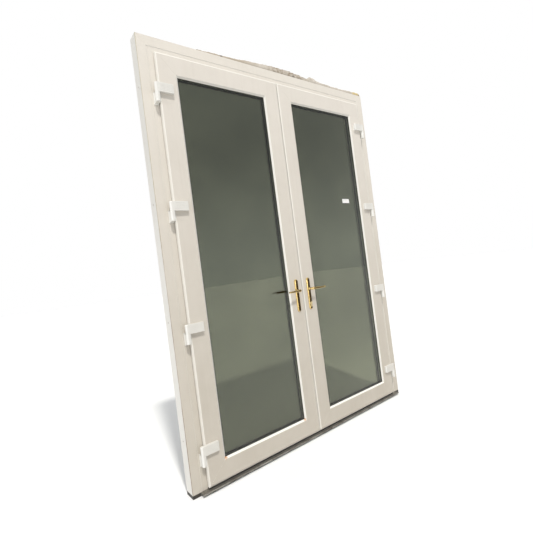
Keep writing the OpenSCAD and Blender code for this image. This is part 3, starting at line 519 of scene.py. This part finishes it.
# %% Lever stations
# along the bar, out from the door, half thickness, half height; all in metres
lever_stations = [(0, 0.0002, 0.0090, 0.0090), (0, 0.0100, 0.0090, 0.0090), (0, 0.0116, 0.0088, 0.0088),
    (0, 0.0126, 0.0074, 0.0074), (0, 0.0160, 0.0070, 0.0070), (0, 0.0240, 0.0070, 0.0072),
    (0.0006, 0.0300, 0.0074, 0.0078), (0.0030, 0.0350, 0.0080, 0.0084), (0.0075, 0.0388, 0.0078, 0.0086),
    (0.0140, 0.0408, 0.0066, 0.0082), (0.0240, 0.0422, 0.0056, 0.0074), (0.0400, 0.0438, 0.0052, 0.0068),
    (0.0600, 0.0452, 0.0049, 0.0062), (0.0780, 0.0458, 0.0045, 0.0056), (0.0880, 0.0461, 0.0040, 0.0048),
    (0.0908, 0.0462, 0.0036, 0.0040), (0.0922, 0.0462, 0.0046, 0.0047), (0.0944, 0.0462, 0.0062, 0.0062),
    (0.0972, 0.0462, 0.0066, 0.0066), (0.1002, 0.0462, 0.0058, 0.0058), (0.1022, 0.0462, 0.0036, 0.0036),
    (0.1028, 0.0462, 0.0012, 0.0012)]
ring_points, squareness = 16, 0.85
print("stations", len(lever_stations), "reach", lever_stations[-1][0])


# %% One cast lever
def cast_lever(side, place_name, body):
    """Lofts one lever on its spindle's axis; its inner or outer copy is a mirror image."""
    node = f"{side}_{place_name}_lever"
    low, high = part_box(node)
    along, out = (1 if side == "right" else -1), (-1 if place_name == "outer" else 1)
    axis_x = sum(corner.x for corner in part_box(f"{side}_spindle")) / 2
    root = high.y if out < 0 else low.y
    rings = []
    for i, (u, v, thick, tall) in enumerate(lever_stations):
        before, after = lever_stations[max(0, i - 1)], lever_stations[min(len(lever_stations) - 1, i + 1)]
        run = Vector((after[0] - before[0], after[1] - before[1])).normalized()
        ring = []
        for k in range(ring_points):
            turn = math.tau * k / ring_points
            near = math.copysign(abs(math.cos(turn)) ** squareness, math.cos(turn))
            rise = math.copysign(abs(math.sin(turn)) ** squareness, math.sin(turn))
            ring.append(Vector((axis_x + along * (u - run.y * near * thick),
                root + out * (v + run.x * near * thick), lever_z + rise * tall)))
        rings.append(ring)
    piece = loft(f"{node}_cast", rings)
    piece.modifiers.new("soft", "SUBSURF").levels = 2
    piece.modifiers["soft"].render_levels = 2
    piece.data.materials.append(lever_brass)
    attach(piece, body)
    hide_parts(node)
    return piece


print("lever maker ready")

# %% The four levers
# the levers' broad faces are painted fully dark, a painted dark reflection
lever_brass = brass("lever_brass", (0.92, 0.70, 0.32, 1), (0.08, 0.050, 0.020, 1), 0.35, 1.0)
for side in ("left", "right"):
    for place_name in ("outer", "inner"):
        piece = cast_lever(side, place_name, f"{side}_handle")
        print(piece.name, [round(v, 4) for v in piece.dimensions])

# %% [markdown]
# ## Old sealant
# When doors are taken out, the sealant and plaster along the head tear and leave a ragged strip: thin
# at the ends, heaped over the middle, with one lump. A long skin is lofted across the head, as high
# at each place as the node that it stands for, and every point is pushed in or out by noise. Loose
# crumbs, each a noisy little stone, lie along its top where it broke. Sculpting could do this too,
# but noise gives the same ragged edge from a few lines.

# %% Sealant strip
profile = {}
for vertex in nodes["sealant_remains"].data.vertices:
    key_x = round(vertex.co.x, 4)
    profile[key_x] = max(profile.get(key_x, 0.0), vertex.co.z - seal_lo.z)
profile_xs = sorted(profile)


def sealant_height(x):
    """How high the strip stands at x, read off the node that it stands for."""
    i = max(1, next((n for n, value in enumerate(profile_xs) if value >= x), len(profile_xs) - 1))
    x0, x1 = profile_xs[i - 1], profile_xs[i]
    share = min(1.0, max(0.0, (x - x0) / (x1 - x0)))
    return profile[x0] + (profile[x1] - profile[x0]) * share


steps, arch_points = 560, 16
end_gap, side_gap, top_gap = 0.0015, 0.0003, 0.0005  # kept clear of the node's own box
rings = []
for i in range(steps + 1):
    x = seal_lo.x + end_gap + (seal_hi.x - seal_lo.x - 2 * end_gap) * i / steps
    ragged = 0.94 + 0.10 * noise.noise(Vector((x * 70, 1.7, 0))) + 0.08 * noise.noise(Vector((x * 190, 5.1, 0)))
    tall = max(0.0012, sealant_height(x) * ragged)
    wide = 0.0075 + 0.0015 * noise.noise(Vector((x * 45, 9.1, 0)))
    middle_y = seal_lo.y + 0.0092
    ring = []
    for k in range(arch_points):
        turn = math.pi * k / (arch_points - 1)
        at = Vector((x * 120, math.cos(turn) * 2.1, math.sin(turn) * 2.1 + 7))
        skin = 1 + 0.14 * noise.noise(at) + 0.10 * noise.noise(at * 2.9)
        y = middle_y - math.copysign(abs(math.cos(turn)) ** 0.4, math.cos(turn)) * wide * skin
        z = seal_lo.z + 0.0001 + math.sin(turn) ** 0.7 * tall * (0.86 + 0.14 * skin)
        y = min(max(y, seal_lo.y + side_gap), seal_hi.y - side_gap)
        ring.append(Vector((x, y, min(z, seal_hi.z - top_gap))))
    rings.append(ring)
sealant = loft("sealant_strip", rings)
sealant.data.materials.append(sealant_finish)
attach(sealant, "frame")
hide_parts("sealant_remains")
print(sealant.name, len(sealant.data.polygons), "faces")

# %% Crumbs
rng = random.Random(7)
crumb_count = 150
mesh = bmesh.new()
for _ in range(crumb_count):
    x = rng.choice((rng.uniform(-0.05, 0.30), rng.uniform(0.30, 0.39), rng.uniform(-0.5, 0.85)))
    size = rng.uniform(0.0010, 0.0032)
    seat = min(seal_lo.z + sealant_height(x) * 0.94 - size * 0.1, seal_hi.z - size * 1.5)
    centre = Vector((x, seal_lo.y + rng.uniform(0.0055, 0.0145), seat))
    made = bmesh.ops.create_icosphere(mesh, subdivisions=2, radius=size, matrix=Matrix.Translation(centre))
    for vertex in made["verts"]:
        away = vertex.co - centre
        vertex.co = centre + away * (1 + 0.5 * noise.noise(vertex.co * 420))
data = bpy.data.meshes.new("sealant_crumbs")
mesh.to_mesh(data)
mesh.free()
crumb_pile = bpy.data.objects.new("sealant_crumbs", data)
scene.collection.objects.link(crumb_pile)
data.materials.append(sealant_finish)
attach(crumb_pile, "frame")
print(crumb_pile.name, len(data.polygons), "faces")

# %% [markdown]
# ## Floor and light
# The doors stand on a wide pale floor under a high, slightly soft key light from the front left,
# which puts a short shadow under each hinge. A much softer second light comes in low from the left
# and lifts the bevels and edges that face it. The surrounding light is close to the floor at the
# horizon, so the glass shows only a faint seam there, and is quieter above, as in a studio with dark
# cards. Two cheats help: the camera alone sees the backdrop as white, and the floor looks pale but
# sends back less light than it shows, so that undersides keep their shadows.

# %% Floor
def ground(size=60.0):
    """A wide floor that looks paler than the light it bounces back."""
    mesh = bpy.data.meshes.new("floor")
    edge = size / 2
    corners = [(-edge, -edge, 0), (edge, -edge, 0), (edge, edge, 0), (-edge, edge, 0)]
    mesh.from_pydata(corners, [], [(0, 1, 2, 3)])
    piece = bpy.data.objects.new("floor", mesh)
    scene.collection.objects.link(piece)
    material, tree, shader = new_material("pale_floor")
    bounce = add(tree, "ShaderNodeLightPath").outputs["Is Diffuse Ray"]
    pale, bounced = (0.92, 0.92, 0.91, 1), (0.55, 0.54, 0.52, 1)
    tree.links.new(blend_colour(tree, bounce, pale, bounced), shader.inputs["Base Color"])
    shader.inputs["Roughness"].default_value = 0.9
    mesh.materials.append(material)
    piece.location.z = cad_box[0].z - 0.0005
    return piece


floor = ground()
print("floor at", round(floor.location.z, 4))

# %% Key light
key = bpy.data.objects.new("key", bpy.data.lights.new("key", "SUN"))
scene.collection.objects.link(key)
towards = Vector((0.16, 0.62, -0.95))
key.rotation_mode = "QUATERNION"
key.rotation_quaternion = towards.to_track_quat("-Z", "Y")
key.data.energy, key.data.angle = 2.2, math.radians(4.0)
key.data.color = (1.0, 0.975, 0.94)
print("key light", key.data.energy)

# %% Soft light from the left
fill = bpy.data.objects.new("fill", bpy.data.lights.new("fill", "SUN"))
scene.collection.objects.link(fill)
fill.rotation_mode = "QUATERNION"
fill.rotation_quaternion = Vector((0.95, 0.30, -0.12)).to_track_quat("-Z", "Y")
fill.data.energy, fill.data.angle = 0.6, math.radians(28.0)
for lamp in (key, fill):  # sampled directly only: clear glass then mirrors no discs
    lamp.data.cycles.use_multiple_importance_sampling = False
print("soft light", fill.data.energy)

# %% Surrounding light
world = bpy.data.worlds.new("studio")
scene.world = world
world.use_nodes = True
tree = world.node_tree
tree.nodes.clear()
view_ray = add(tree, "ShaderNodeLightPath").outputs["Is Camera Ray"]
direction = add(tree, "ShaderNodeTexCoord").outputs["Generated"]
height = add(tree, "ShaderNodeSeparateXYZ", {0: direction}).outputs["Z"]
low_sky = remap(tree, height, 0.0, 0.35, 0.92, 0.52)
dome = math_node(tree, "ADD", low_sky, remap(tree, height, 0.40, 0.95, 0.0, 0.25))
backdrop = add(tree, "ShaderNodeBackground", {"Color": (1, 1, 1, 1), "Strength": 1.0}).outputs[0]
light = add(tree, "ShaderNodeBackground", {"Color": (0.97, 0.985, 1.0, 1), "Strength": dome}).outputs[0]
both = add(tree, "ShaderNodeMixShader", {0: view_ray, 1: light, 2: backdrop}).outputs[0]
add(tree, "ShaderNodeOutputWorld", {"Surface": both})
scene.view_settings.view_transform = "Standard"
print("surrounding light ready")
